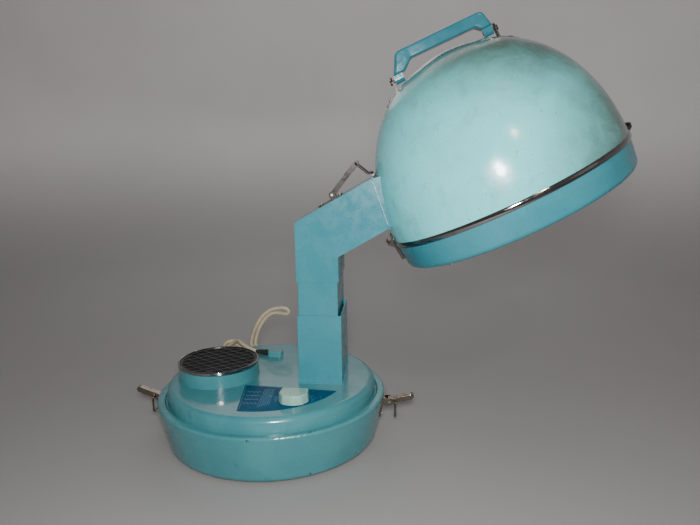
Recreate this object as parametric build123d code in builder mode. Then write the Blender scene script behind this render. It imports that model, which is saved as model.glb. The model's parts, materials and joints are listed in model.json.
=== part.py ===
from build123d import *
import math
import os

os.makedirs("parts", exist_ok=True)

# A portable hood hair dryer: a round base that holds the blower, a telescoping
# rectangular duct, an elbow, and a tilted bonnet with a carrying handle.
# Millimetres. The origin is on the table under the base's centre. +X runs from
# the base towards the hood, +Z is up.

# ------------------------------------------------------------------ base sizes
FOOT_H = 4.0
PAN_R_LOW = 151.4
PAN_R = 165.5
LEDGE_Z = 72.3
GROOVE_R = 152.6
GROOVE_DROP = 3.6
PAN_T = 2.0
FLANGE_R = 138.0
COVER_R = 150.9
COVER_Z = 91.2
COVER_T = 2.0
COVER_SEAT_Z = LEDGE_Z - GROOVE_DROP
FEET_R = 127.0
FEET = 6

# ------------------------------------------------------- intake and blower sizes
INTAKE_X = -80.0
INTAKE_R = 58.0
INTAKE_T = 2.5
INTAKE_TOP_Z = 110.0
RING_TOP_Z = 115.5
GRILLE_Z = 113.6
GRILLE_T = 1.3
GRILLE_R = 56.1
RING_SEAT_R = 53.6
WHEEL_R = 46.0
HOUSING_R = 60.0
HOUSING_Z0 = 19.5
HOUSING_Z1 = 60.0
MOTOR_R = 44.0

# ------------------------------------------------------------- neck (duct) sizes
ARM_Y = 20.0
DEPTH = 100.0
COLUMN_X0 = 44.1
COLUMN_X1 = 106.3
COLUMN_Z0 = 60.0
COLUMN_Z1 = 190.8
COLUMN_T = 1.5
SLEEVE_X0 = 46.4
SLEEVE_X1 = 101.6
SLEEVE_Z0 = 105.0
SLEEVE_Z1 = 268.0
SLEEVE_DEPTH = 96.4
ELBOW_T = 1.4
ELBOW_Z0 = 239.0
ELBOW_BACK = (44.6, 321.7)
ELBOW_TOP = (150.0, 380.5)
ELBOW_LOW = (173.2, 313.7)
ELBOW_INNER = (103.4, 274.2)
SPIGOT_OUT = 9.0

# -------------------------------------------------------------------- hood sizes
HOOD_X = 333.2
HOOD_Z = 362.8
HOOD_TILT = math.radians(26.3)
DOME_R = 169.6
DOME_H = 201.5
DOME_POWER = 2.16
DOME_T = 1.6
BAND_HALF = 3.7
BAND_R = 171.3
RIM_DROP = 39.4
LINER_R = 150.0
LINER_H = 178.0
LINER_T = 1.2

# ------------------------------------------------------------------ handle sizes
HANDLE_PIVOT_N = 198.4
HANDLE_HALF_WIDTH = 11.0
PIN_R = 2.0
RUNNING_GAP = 0.05

# -------------------------------------------------------------------- cord sizes
CORD_D = 6.0


def save(piece, name):
    """Label a finished piece and write it as one STEP file."""
    piece.part.label = name
    export_step(piece.part, f"parts/{name}.step")


# ================================================================= base and feet
def base_outline():
    """The pan's outer side, from its bottom centre round to the cover's seat."""
    return [
        (0, FOOT_H),
        (PAN_R_LOW, FOOT_H),
        (PAN_R, LEDGE_Z - 1.0),
        (PAN_R - 3.0, LEDGE_Z),
        (GROOVE_R + 2.5, LEDGE_Z),
        (GROOVE_R, COVER_SEAT_Z),
        (FLANGE_R, COVER_SEAT_Z),
    ]


with BuildPart() as pan_form:
    with BuildSketch(Plane.XZ):
        with BuildLine():
            FilletPolyline(
                *base_outline(), (0, COVER_SEAT_Z),
                radius=[0, 9, 3, 1.5, 1.5, 1, 0, 0], close=True,
            )
        make_face()
    revolve(axis=Axis.Z)

with BuildPart() as base_pan:
    with BuildSketch(Plane.XZ):
        with BuildLine():
            FilletPolyline(
                *base_outline(),
                (FLANGE_R, COVER_SEAT_Z - PAN_T),
                (GROOVE_R - 1.0, COVER_SEAT_Z - PAN_T),
                (GROOVE_R + 1.5, LEDGE_Z - PAN_T),
                (PAN_R - 4.5, LEDGE_Z - PAN_T),
                (PAN_R_LOW - 2.2, FOOT_H + PAN_T),
                (0, FOOT_H + PAN_T),
                radius=[0, 9, 3, 1.5, 1.5, 1, 0, 0, 1, 1, 2, 7, 0],
                close=True,
            )
        make_face()
    revolve(axis=Axis.Z)
save(base_pan, "base_pan")

KNOB_AT = (47.0, -92.0)
with BuildPart() as base_cover:
    with BuildSketch(Plane.XZ):
        with BuildLine():
            FilletPolyline(
                (0, COVER_Z),
                (COVER_R - 1.0, COVER_Z),
                (COVER_R + 0.6, COVER_SEAT_Z),
                (COVER_R - 1.6, COVER_SEAT_Z),
                (COVER_R - 3.2, COVER_Z - COVER_T),
                (0, COVER_Z - COVER_T),
                radius=[0, 9, 0, 0, 7, 0],
                close=True,
            )
        make_face()
    revolve(axis=Axis.Z)
    # the round intake boss
    with BuildSketch(Plane.XY.offset(COVER_Z - COVER_T)):
        with Locations((INTAKE_X, 0)):
            Circle(INTAKE_R + 1.5)
    extrude(amount=INTAKE_TOP_Z - COVER_Z + COVER_T, taper=4)
    fillet(base_cover.edges().filter_by(GeomType.CIRCLE).group_by(Axis.Z)[-1], 1.2)
    with BuildSketch(Plane.XY.offset(COVER_Z - COVER_T)):
        with Locations((INTAKE_X, 0)):
            Circle(INTAKE_R - INTAKE_T - 1.0)
    extrude(amount=40, mode=Mode.SUBTRACT)
    # the square hole for the duct and the round hole for the switch shaft
    with BuildSketch(Plane.XY.offset(COVER_Z - 3 * COVER_T)):
        with Locations(((COLUMN_X0 + COLUMN_X1) / 2, ARM_Y)):
            Rectangle(COLUMN_X1 - COLUMN_X0, DEPTH)
        with Locations(KNOB_AT):
            Circle(4.5)
    extrude(amount=20, mode=Mode.SUBTRACT)
save(base_cover, "base_cover")

with BuildPart() as base_feet:
    # screwed feet round the edge and a plain one in the middle
    Cylinder(11, FOOT_H, align=(Align.CENTER, Align.CENTER, Align.MIN))
    with PolarLocations(FEET_R, FEET):
        Cylinder(11, FOOT_H, align=(Align.CENTER, Align.CENTER, Align.MIN))
        Cylinder(3, FOOT_H, align=(Align.CENTER, Align.CENTER, Align.MIN), mode=Mode.SUBTRACT)
    fillet(base_feet.edges().group_by(Axis.Z)[0], 0.8)
save(base_feet, "base_feet")

with BuildPart() as foot_screws:
    with BuildSketch(Plane.XY.offset(1.2)):
        with PolarLocations(FEET_R, FEET):
            Circle(2.9)
    extrude(amount=FOOT_H - 1.2)
save(foot_screws, "foot_screws")

# ================================================================ intake ring
with BuildPart() as intake_ring:
    with BuildSketch(Plane(origin=(INTAKE_X, 0, 0), x_dir=(1, 0, 0), z_dir=(0, -1, 0))):
        with BuildLine():
            # the grille lies on the inner step
            FilletPolyline(
                (RING_SEAT_R, INTAKE_TOP_Z),
                (INTAKE_R + 0.9, INTAKE_TOP_Z),
                (INTAKE_R + 0.9, RING_TOP_Z - 1.0),
                (INTAKE_R - 0.5, RING_TOP_Z),
                (GRILLE_R + 0.3, RING_TOP_Z - 0.8),
                (GRILLE_R + 0.3, GRILLE_Z - GRILLE_T),
                (RING_SEAT_R, GRILLE_Z - GRILLE_T),
                radius=[0, 1.2, 0.8, 0.4, 0.3, 0, 0],
                close=True,
            )
        make_face()
    revolve(axis=Axis((INTAKE_X, 0, 0), (0, 0, 1)))
save(intake_ring, "intake_ring")

MESH_STEP = 13.0
with BuildPart() as intake_grille:
    # crossed bars inside a hoop
    with BuildSketch(Plane.XY.offset(GRILLE_Z - GRILLE_T)):
        with Locations((INTAKE_X, 0)):
            Circle(GRILLE_R)
            Circle(GRILLE_R - 3.5, mode=Mode.SUBTRACT)
    extrude(amount=GRILLE_T)
    with BuildSketch(Plane.XY.offset(GRILLE_Z - GRILLE_T)):
        for turn in (35, -35):
            for step in range(-3, 4):
                reach = 2 * math.sqrt((GRILLE_R - 2) ** 2 - (step * MESH_STEP) ** 2)
                shift = Vector(0, step * MESH_STEP).rotate(Axis.Z, turn)
                with Locations(Location((INTAKE_X + shift.X, shift.Y, 0), (0, 0, turn))):
                    Rectangle(reach, 1.6)
    extrude(amount=GRILLE_T)
save(intake_grille, "intake_grille")

# ================================================================ dial and knob
DIAL_T = 0.7
with BuildPart() as dial_plate:
    with BuildSketch(Plane.XY.offset(COVER_Z)):
        with BuildLine():
            Line((-21.7, -126.5), (-31.0, -41.1))
            Line((-31.0, -41.1), (99.8, -57.3))
            ThreePointArc((99.8, -57.3), (47.6, -114.6), (-21.7, -126.5))
        make_face()
        with Locations(KNOB_AT):
            Circle(4.5, mode=Mode.SUBTRACT)
    extrude(amount=DIAL_T)
save(dial_plate, "dial_plate")

KNOB_Z0 = COVER_Z + DIAL_T + 0.5
KNOB_H = 12.5
with BuildPart() as control_knob:
    with BuildSketch(Plane(origin=(*KNOB_AT, KNOB_Z0))):
        with BuildLine():
            FilletPolyline(
                (-20.5, -3), (-14, -15), (0, -19), (13, -15), (20.5, -4), (19, 13.5), (-19, 15),
                radius=[7, 9, 16, 9, 7, 4, 4], close=True,
            )
        make_face()
    extrude(amount=KNOB_H, taper=5)
    fillet(control_knob.faces().sort_by(Axis.Z)[-1].edges(), 2.2)
    with Locations((*KNOB_AT, KNOB_Z0)):
        Cylinder(3, 16, mode=Mode.SUBTRACT)
save(control_knob, "control_knob")

SWITCH_TOP_Z = COVER_Z - COVER_T - 0.2
with BuildPart() as switch_body:
    with Locations((*KNOB_AT, SWITCH_TOP_Z)):
        Box(34, 26, 20, align=(Align.CENTER, Align.CENTER, Align.MAX))
        Cylinder(3 + RUNNING_GAP, 30, mode=Mode.SUBTRACT)
save(switch_body, "switch_body")

with BuildPart() as switch_shaft:
    with Locations((*KNOB_AT, SWITCH_TOP_Z - 14)):
        Cylinder(3, KNOB_Z0 + 8 - SWITCH_TOP_Z + 14, align=(Align.CENTER, Align.CENTER, Align.MIN))
save(switch_shaft, "switch_shaft")

# ============================================================== blower and heater
PLENUM_X0 = COLUMN_X0
PLENUM_X1 = COLUMN_X1
DUCT_Y0 = 22.0
DUCT_Y1 = HOUSING_R
WALL = 1.5
with BuildPart() as blower_housing:
    # a drum round the wheel, a straight outlet duct and a box under the column
    with BuildSketch(Plane.XY.offset(HOUSING_Z0)) as housing_plan:
        with Locations((INTAKE_X, 0)):
            Circle(HOUSING_R)
        with Locations(((INTAKE_X + PLENUM_X1) / 2, (DUCT_Y0 + DUCT_Y1) / 2)):
            Rectangle(PLENUM_X1 - INTAKE_X, DUCT_Y1 - DUCT_Y0)
        with Locations(((PLENUM_X0 + PLENUM_X1) / 2, ARM_Y)):
            Rectangle(PLENUM_X1 - PLENUM_X0, DEPTH)
    extrude(amount=HOUSING_Z1 - HOUSING_Z0)
    with BuildSketch(Plane.XY.offset(HOUSING_Z0 + WALL)):
        with Locations((INTAKE_X, 0)):
            Circle(HOUSING_R - WALL)
        with Locations(((INTAKE_X + PLENUM_X1) / 2 - WALL, (DUCT_Y0 + DUCT_Y1) / 2)):
            Rectangle(PLENUM_X1 - INTAKE_X, DUCT_Y1 - DUCT_Y0 - 2 * WALL)
        with Locations(((PLENUM_X0 + PLENUM_X1) / 2, ARM_Y)):
            Rectangle(PLENUM_X1 - PLENUM_X0 - 2 * WALL, DEPTH - 2 * WALL)
    extrude(amount=HOUSING_Z1 - HOUSING_Z0 - 2 * WALL, mode=Mode.SUBTRACT)
    # the air inlet over the wheel, the outlet under the column, the shaft hole
    with BuildSketch(Plane.XY.offset(HOUSING_Z1 - 2 * WALL)):
        with Locations((INTAKE_X, 0)):
            Circle(WHEEL_R - 8)
        with Locations(((PLENUM_X0 + PLENUM_X1) / 2, ARM_Y)):
            Rectangle(PLENUM_X1 - PLENUM_X0 - 2 * WALL, DEPTH - 2 * WALL)
    extrude(amount=3 * WALL, mode=Mode.SUBTRACT)
    with Locations((INTAKE_X, 0, HOUSING_Z0)):
        Cylinder(8, 8, mode=Mode.SUBTRACT)
save(blower_housing, "blower_housing")

with BuildPart() as motor:
    with Locations((INTAKE_X, 0, FOOT_H + PAN_T)):
        Cylinder(MOTOR_R, 13.2, align=(Align.CENTER, Align.CENTER, Align.MIN))
    fillet(motor.edges().filter_by(GeomType.CIRCLE), 1.5)
    with Locations((INTAKE_X, 0, FOOT_H + PAN_T + 4)):
        Cylinder(3 + RUNNING_GAP, 20, align=(Align.CENTER, Align.CENTER, Align.MIN),
                 mode=Mode.SUBTRACT)
save(motor, "motor")

with BuildPart() as motor_shaft:
    with Locations((INTAKE_X, 0, FOOT_H + PAN_T + 4.5)):
        Cylinder(3, 30, align=(Align.CENTER, Align.CENTER, Align.MIN))
save(motor_shaft, "motor_shaft")

WHEEL_Z0 = 25.0
WHEEL_H = 30.0
BLADES = 20
with BuildPart() as blower_wheel:
    with Locations((INTAKE_X, 0, WHEEL_Z0)):
        Cylinder(WHEEL_R, 2, align=(Align.CENTER, Align.CENTER, Align.MIN))
        Cylinder(8, 14, align=(Align.CENTER, Align.CENTER, Align.MIN))
        Cylinder(3, 60, mode=Mode.SUBTRACT)
    with BuildSketch(Plane.XY.offset(WHEEL_Z0 + WHEEL_H - 2)):
        with Locations((INTAKE_X, 0)):
            Circle(WHEEL_R)
            Circle(WHEEL_R - 7, mode=Mode.SUBTRACT)
    extrude(amount=2)
    with BuildSketch(Plane.XY.offset(WHEEL_Z0 + 1)):
        with Locations((INTAKE_X, 0)):
            with PolarLocations(WHEEL_R - 4, BLADES):
                Rectangle(6.5, 1.4, rotation=25)
    extrude(amount=WHEEL_H - 2)
save(blower_wheel, "blower_wheel")

HEATER_X = (COLUMN_X0 + COLUMN_X1) / 2
HEATER_H = 34.0
with BuildPart() as heater_frame:
    # two mica cards that cross inside the box under the column
    with Locations((HEATER_X, ARM_Y, HOUSING_Z0 + WALL)):
        Box(54, 1.6, HEATER_H, align=(Align.CENTER, Align.CENTER, Align.MIN))
        Box(1.6, 92, HEATER_H, align=(Align.CENTER, Align.CENTER, Align.MIN))
save(heater_frame, "heater_frame")

with BuildPart() as heater_coils:
    # four upright wire coils, each drawn as the thin tube that its turns fill
    with BuildSketch(Plane.XY.offset(HOUSING_Z0 + WALL)):
        with Locations((HEATER_X, ARM_Y)):
            with GridLocations(28, 50, 2, 2):
                Circle(5)
                Circle(4, mode=Mode.SUBTRACT)
    extrude(amount=HEATER_H - 4)
save(heater_coils, "heater_coils")

with BuildPart() as thermostat:
    with Locations((HEATER_X + 12, ARM_Y + 1.0, HOUSING_Z0 + WALL + 20)):
        Box(16, 5, 10, align=(Align.CENTER, Align.MIN, Align.CENTER))
save(thermostat, "thermostat")

# ==================================================================== neck duct
COLUMN_CENTRE = ((COLUMN_X0 + COLUMN_X1) / 2, ARM_Y)
COLUMN_SIZE = (COLUMN_X1 - COLUMN_X0, DEPTH)
with BuildPart() as neck_column:
    with BuildSketch(Plane.XY.offset(COLUMN_Z0)):
        with Locations(COLUMN_CENTRE):
            Rectangle(*COLUMN_SIZE)
    extrude(amount=COLUMN_Z1 - COLUMN_Z0)
    fillet(neck_column.edges().filter_by(Axis.Z), 0.7)
    # the foot flange on the cover
    with BuildSketch(Plane.XY.offset(COVER_Z)):
        with Locations(COLUMN_CENTRE):
            Rectangle(COLUMN_SIZE[0] + 3, COLUMN_SIZE[1] + 3)
    extrude(amount=1.6)
    with BuildSketch(Plane.XY.offset(COLUMN_Z0)):
        with Locations(COLUMN_CENTRE):
            Rectangle(COLUMN_SIZE[0] - 2 * COLUMN_T, COLUMN_SIZE[1] - 2 * COLUMN_T)
    extrude(amount=COLUMN_Z1 - COLUMN_Z0, mode=Mode.SUBTRACT)
save(neck_column, "neck_column")

FRICTION_X1 = COLUMN_X1 - COLUMN_T
FRICTION_X0 = SLEEVE_X1 + 0.4
with BuildPart() as friction_spring:
    # a bowed leaf between the column's front wall and the sleeve
    with BuildSketch(Plane.XZ.offset(-ARM_Y)):
        with BuildLine():
            ThreePointArc((FRICTION_X1, 146), (FRICTION_X0, 166), (FRICTION_X1, 186))
            Line((FRICTION_X1, 186), (FRICTION_X1, 183))
            ThreePointArc((FRICTION_X1, 183), (FRICTION_X0 + 0.8, 166), (FRICTION_X1, 149))
            Line((FRICTION_X1, 149), (FRICTION_X1, 146))
        make_face()
    extrude(amount=24, both=True)
save(friction_spring, "friction_spring")

SLEEVE_CENTRE = ((SLEEVE_X0 + SLEEVE_X1) / 2, ARM_Y)
CATCH_Z = 234.5
CATCH_SIZE = (14.0, 6.6)
with BuildPart() as neck_sleeve:
    with BuildSketch(Plane.XY.offset(SLEEVE_Z0)):
        with Locations(SLEEVE_CENTRE):
            Rectangle(SLEEVE_X1 - SLEEVE_X0, SLEEVE_DEPTH)
    extrude(amount=SLEEVE_Z1 - SLEEVE_Z0)
    fillet(neck_sleeve.edges().filter_by(Axis.Z), 0.6)
    with BuildSketch(Plane.XY.offset(SLEEVE_Z0)):
        with Locations(SLEEVE_CENTRE):
            Rectangle(SLEEVE_X1 - SLEEVE_X0 - 2.8, SLEEVE_DEPTH - 2.8)
    extrude(amount=SLEEVE_Z1 - SLEEVE_Z0, mode=Mode.SUBTRACT)
    with Locations((SLEEVE_X0, ARM_Y, CATCH_Z)):
        Box(8, CATCH_SIZE[0] + 0.6, CATCH_SIZE[1] + 0.6, mode=Mode.SUBTRACT)
save(neck_sleeve, "neck_sleeve")

CATCH_TRAVEL = 2.5
with BuildPart() as neck_catch:
    # a push button with a flange behind the sleeve's rear wall
    with Locations((SLEEVE_X0 - 3.0, ARM_Y, CATCH_Z)):
        Box(7.6, *CATCH_SIZE, align=(Align.MIN, Align.CENTER, Align.CENTER))
    fillet(neck_catch.faces().sort_by(Axis.X)[0].edges(), 1.0)
    with Locations((SLEEVE_X0 + 1.7, ARM_Y, CATCH_Z)):
        Box(2, CATCH_SIZE[0] + 5, CATCH_SIZE[1] + 5,
            align=(Align.MIN, Align.CENTER, Align.CENTER))
save(neck_catch, "neck_catch")

# ------------------------------------------------------------------------ elbow
# The elbow's outlet face runs from ELBOW_TOP to ELBOW_LOW. Its normal, out_dir,
# is the way that the hood pulls off.
face_run = Vector(ELBOW_TOP[0] - ELBOW_LOW[0], 0, ELBOW_TOP[1] - ELBOW_LOW[1])
FACE_H = face_run.length
out_dir = Vector(0, 1, 0).cross(face_run).normalized()
out_plane = Plane(
    origin=((ELBOW_TOP[0] + ELBOW_LOW[0]) / 2, ARM_Y, (ELBOW_TOP[1] + ELBOW_LOW[1]) / 2),
    x_dir=(0, 1, 0),
    z_dir=out_dir,
)
slope = math.atan2(ELBOW_TOP[1] - ELBOW_BACK[1], ELBOW_TOP[0] - ELBOW_BACK[0])
run_x = 14 * math.cos(slope)
run_z = 14 * math.sin(slope)

with BuildPart() as neck_elbow:
    with BuildSketch(Plane.XZ.offset(-ARM_Y)):
        with BuildLine():
            FilletPolyline(
                (ELBOW_BACK[0], ELBOW_Z0), ELBOW_BACK, ELBOW_TOP, ELBOW_LOW, ELBOW_INNER,
                (ELBOW_INNER[0], ELBOW_Z0),
                radius=[0, 4, 0, 0, 2, 0], close=True,
            )
        make_face()
    extrude(amount=DEPTH / 2, both=True)
    # the hollow: the same outline, longer at both ends, set in by the wall
    with BuildSketch(Plane.XZ.offset(-ARM_Y)):
        with BuildLine():
            Polyline(
                (ELBOW_BACK[0], ELBOW_Z0 - 14),
                ELBOW_BACK,
                (ELBOW_TOP[0] + run_x, ELBOW_TOP[1] + run_z),
                (ELBOW_LOW[0] + run_x, ELBOW_LOW[1] + run_z),
                ELBOW_INNER,
                (ELBOW_INNER[0], ELBOW_Z0 - 14),
                close=True,
            )
        make_face()
        offset(amount=-ELBOW_T, kind=Kind.INTERSECTION)
    extrude(amount=DEPTH / 2 - ELBOW_T, both=True, mode=Mode.SUBTRACT)
    # the ledge that stands on the sleeve's top
    with BuildSketch(Plane.XY.offset(SLEEVE_Z1 + 0.2)):
        with Locations(((ELBOW_BACK[0] + ELBOW_INNER[0]) / 2, ARM_Y)):
            Rectangle(ELBOW_INNER[0] - ELBOW_BACK[0] - ELBOW_T, DEPTH - ELBOW_T)
            Rectangle(ELBOW_INNER[0] - ELBOW_BACK[0] - 8, DEPTH - 8, mode=Mode.SUBTRACT)
    extrude(amount=1.6)
save(neck_elbow, "neck_elbow")

SPIGOT_W = DEPTH - 2 * ELBOW_T
SPIGOT_H = FACE_H - 7.8
with BuildPart(out_plane) as elbow_spigot:
    # a liner in the elbow's mouth that reaches into the hood's port
    with BuildSketch(out_plane.offset(-12)):
        Rectangle(SPIGOT_W, SPIGOT_H)
        Rectangle(SPIGOT_W - 2.4, SPIGOT_H - 2.4, mode=Mode.SUBTRACT)
    extrude(amount=12 + SPIGOT_OUT)
save(elbow_spigot, "elbow_spigot")

# ========================================================================= hood
tilt_cos = math.cos(HOOD_TILT)
tilt_sin = math.sin(HOOD_TILT)
hood_origin = Vector(HOOD_X, ARM_Y, HOOD_Z)
hood_up = Vector(-tilt_sin, 0, tilt_cos)
hood_fore = Vector(tilt_cos, 0, tilt_sin)
# hood_frame: x forwards along the band, y across, z up the hood's axis
hood_frame = Plane(origin=hood_origin, x_dir=hood_fore, z_dir=hood_up)
# hood_section: x forwards along the band, y up the hood's axis
hood_section = Plane(origin=hood_origin, x_dir=hood_fore, z_dir=(0, -1, 0))
hood_axis = Axis(hood_origin, hood_up)


def dome_radius(height, radius=DOME_R, top=DOME_H):
    """The dome's radius at a height above the band."""
    return radius * (1 - (height / top) ** DOME_POWER) ** (1 / DOME_POWER)


def dome_curve(radius, top, steps=10):
    """Points up the dome's side, from the band to the top."""
    angles = [math.pi / 2 * step / steps for step in range(steps + 1)]
    power = 2 / DOME_POWER
    return [(radius * math.cos(a) ** power, top * math.sin(a) ** power) for a in angles[:-1]] + [(0, top)]


def dome_form(grow, low=-1.0):
    """The dome as one filled solid, its surface moved out by grow."""
    with BuildPart() as form:
        with BuildSketch(hood_section):
            with BuildLine():
                side = dome_curve(DOME_R + grow, DOME_H + grow)
                Spline(*side, tangents=[(0, 1), (-1, 0)])
                Polyline((0, DOME_H + grow), (0, low), (DOME_R + grow, low), (DOME_R + grow, 0))
            make_face()
        revolve(axis=hood_axis)
    return form


def domed_shell(radius, top, wall, low=0.0):
    """A domed shell with a straight skirt down to low."""
    with BuildPart() as shell:
        with BuildSketch(hood_section):
            with BuildLine():
                Spline(*dome_curve(radius, top), tangents=[(0, 1), (-1, 0)])
                Line((0, top), (0, top - wall))
                inner = dome_curve(radius - wall, top - wall)
                Spline(*reversed(inner), tangents=[(1, 0), (0, -1)])
                if low < 0:
                    Line((radius - wall, 0), (radius - wall, low))
                    Line((radius, low), (radius, 0))
                Line((radius - wall, low), (radius, low))
            make_face()
        revolve(axis=hood_axis)
    return shell


PORT_W = DEPTH + 1.0
PORT_H = FACE_H - 1.8
PORT_GAP = 0.4
FLANGE_W = DEPTH + 2.4
FLANGE_H = FACE_H + 3.5
FLANGE_T = 2.0

with BuildPart() as hood_shell:
    add(domed_shell(DOME_R, DOME_H, DOME_T).part)
    # the way through for the port, and room for its flange and the elbow's end
    with BuildSketch(out_plane.offset(-20)):
        Rectangle(FLANGE_W + 0.4, FLANGE_H + 0.4)
    extrude(amount=20 + PORT_GAP + FLANGE_T, mode=Mode.SUBTRACT)
    with BuildSketch(out_plane.offset(-20)):
        Rectangle(PORT_W, PORT_H)
    extrude(amount=60, mode=Mode.SUBTRACT)
save(hood_shell, "hood_shell")

with BuildPart() as hood_port:
    # a flanged square collar that fills the dome's opening
    with BuildSketch(out_plane.offset(PORT_GAP)):
        Rectangle(FLANGE_W, FLANGE_H)
    extrude(amount=FLANGE_T)
    with BuildSketch(out_plane.offset(PORT_GAP)):
        Rectangle(PORT_W, PORT_H)
    extrude(amount=30)
    with BuildSketch(out_plane.offset(PORT_GAP)):
        Rectangle(PORT_W - 2.6, PORT_H - 2.6)
    extrude(amount=30, mode=Mode.SUBTRACT)
    add(dome_form(-DOME_T, low=-30).part, mode=Mode.SUBTRACT)
save(hood_port, "hood_port")

RIM_OUTLINE = [(168.9, 0.0), (168.3, -14.0), (165.4, -RIM_DROP), (147.5, -RIM_DROP)]
RIM_T = 1.8
with BuildPart() as hood_rim:
    with BuildSketch(hood_section):
        with BuildLine():
            FilletPolyline(
                *RIM_OUTLINE,
                (147.5, -RIM_DROP + RIM_T),
                (163.6, -RIM_DROP + RIM_T),
                (166.4, -14.0),
                (167.1, 0.0),
                radius=[0, 30, 7.5, 0, 0, 5.7, 30, 0],
                close=True,
            )
        make_face()
    revolve(axis=hood_axis)
save(hood_rim, "hood_rim")

with BuildPart() as chrome_band:
    with BuildSketch(hood_section):
        with BuildLine():
            Line((DOME_R + 0.05, -BAND_HALF), (DOME_R + 0.05, BAND_HALF))
            Line((DOME_R + 0.05, BAND_HALF), (BAND_R - 0.9, BAND_HALF))
            ThreePointArc((BAND_R - 0.9, BAND_HALF), (BAND_R, 0), (BAND_R - 0.9, -BAND_HALF))
            Line((BAND_R - 0.9, -BAND_HALF), (DOME_R + 0.05, -BAND_HALF))
        make_face()
    revolve(axis=hood_axis)
save(chrome_band, "chrome_band")

LINER_LOW = -RIM_DROP + RIM_T + 0.1
GORE_GAP = 0.2
with BuildPart() as hood_liner:
    add(domed_shell(LINER_R, LINER_H, LINER_T, LINER_LOW).part)
    # rings of air holes
    holes = []
    for ring, count in ((18, 8), (36, 16), (54, 22), (72, 26)):
        lean = math.radians(ring)
        for step in range(count):
            turn = 2 * math.pi * (step + 0.5) / count
            aim = (
                hood_fore * (math.sin(lean) * math.cos(turn))
                + Vector(0, 1, 0) * (math.sin(lean) * math.sin(turn))
                + hood_up * math.cos(lean)
            )
            holes.append(Plane(origin=hood_origin + aim * 120, z_dir=aim).location)
    with Locations(*holes):
        Cylinder(4, 80, align=(Align.CENTER, Align.CENTER, Align.MIN), mode=Mode.SUBTRACT)
    # it is moulded as four gores, with a hair's breadth between them
    for turn in (0, 90):
        with Locations(hood_frame.location * Location((0, 0, 0), (0, 0, turn))):
            Box(GORE_GAP, 400, 400, align=(Align.CENTER, Align.CENTER, Align.CENTER), mode=Mode.SUBTRACT)
save(hood_liner, "hood_liner")

with BuildPart(hood_frame) as liner_screws:
    with PolarLocations(155.5, 4, start_angle=45):
        with Locations((0, 0, -RIM_DROP - 1.6)):
            Cylinder(3.4, 1.6, align=(Align.CENTER, Align.CENTER, Align.MIN))
save(liner_screws, "liner_screws")

# ----------------------------------------------------------------- latch strikes
with BuildPart() as hood_form:
    add(dome_form(0.0).part)
    with BuildSketch(hood_section):
        with BuildLine():
            FilletPolyline(*RIM_OUTLINE, (0, -RIM_DROP), (0, 0), radius=[0, 30, 7.5, 0, 0, 0],
                           close=True)
        make_face()
    revolve(axis=hood_axis)
    with BuildSketch(hood_section):
        with Locations((DOME_R / 2 + BAND_R / 2, 0)):
            Rectangle(BAND_R - DOME_R + 0.2, 2 * BAND_HALF)
    revolve(axis=hood_axis)

STRIKE_W = 24.0
STRIKE_TOP = 13.0
STRIKE_LOW = -26.0


def strike(side):
    """A hooked plate on the hood's edge: side is 1 at the front and -1 at the rear."""
    with BuildPart() as plate:
        with BuildSketch(hood_section):
            with BuildLine():
                Polyline(
                    (side * 150, STRIKE_TOP), (side * (BAND_R + 0.6), STRIKE_TOP),
                    (side * (BAND_R + 1.6), 4.5), (side * (BAND_R + 7.0), 3.0),
                    (side * (BAND_R + 7.6), 7.5), (side * (BAND_R + 9.2), 7.5),
                    (side * (BAND_R + 8.8), 1.2), (side * (BAND_R + 2.0), -4.5),
                    (side * (BAND_R - 0.2), STRIKE_LOW), (side * 150, STRIKE_LOW),
                    close=True,
                )
            make_face()
        extrude(amount=STRIKE_W / 2, both=True)
        add(hood_form.part, mode=Mode.SUBTRACT)
        chamfer(plate.edges().filter_by(Axis.Y).sort_by(hood_axis)[-1:], 0.3)
    return plate


front_strike = strike(1)
save(front_strike, "front_strike")
rear_strike = strike(-1)
save(rear_strike, "rear_strike")

# ======================================================================= handle
LEG_T = (58.5, 72.0)
PIN_OUT = 79.0
EAR_T = (74.6, 76.4)
with BuildPart() as handle_grip:
    with BuildSketch(hood_section):
        with BuildLine():
            FilletPolyline(
                (-71, 204), (-56, 232), (67, 226.5), (72.5, 204), (58.5, 204), (51.5, 210.5),
                (-39.5, 215), (-54, 204),
                radius=[0, 9, 8, 0, 0, 5, 6, 0], close=True,
            )
        make_face()
    extrude(amount=HANDLE_HALF_WIDTH, both=True)
    grip_sides = handle_grip.faces().filter_by(Axis.Y)
    fillet(grip_sides.edges(), 3.5)
save(handle_grip, "handle_grip")

KNUCKLE_R = 5.6
with BuildPart(hood_frame) as handle_ferrules:
    for side in (-1, 1):
        with Locations((side * (LEG_T[0] + LEG_T[1]) / 2, 0, HANDLE_PIVOT_N)):
            Box(13, 2 * KNUCKLE_R, KNUCKLE_R, align=(Align.CENTER, Align.CENTER, Align.MIN))
            Cylinder(KNUCKLE_R, 13, rotation=(0, 90, 0))
            Cylinder(PIN_R + RUNNING_GAP, 20, rotation=(0, 90, 0), mode=Mode.SUBTRACT)
save(handle_ferrules, "handle_ferrules")

with BuildPart(hood_frame) as handle_pins:
    for side in (-1, 1):
        with Locations((side * (LEG_T[0] + PIN_OUT) / 2, 0, HANDLE_PIVOT_N)):
            Cylinder(PIN_R, PIN_OUT - LEG_T[0], rotation=(0, 90, 0))
        with Locations((side * (EAR_T[1] + PIN_OUT) / 2, 0, HANDLE_PIVOT_N)):
            Cylinder(3.6, PIN_OUT - EAR_T[1], rotation=(0, 90, 0))
save(handle_pins, "handle_pins")

BRACKET_FAR = 97.0
BRACKET_HALF = 8.5
BRACKET_T = 1.6
RIVET_AT = [(side * 89, across) for side in (-1, 1) for across in (-4.5, 4.5)]
EAR_MID = (EAR_T[0] + EAR_T[1]) / 2


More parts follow.
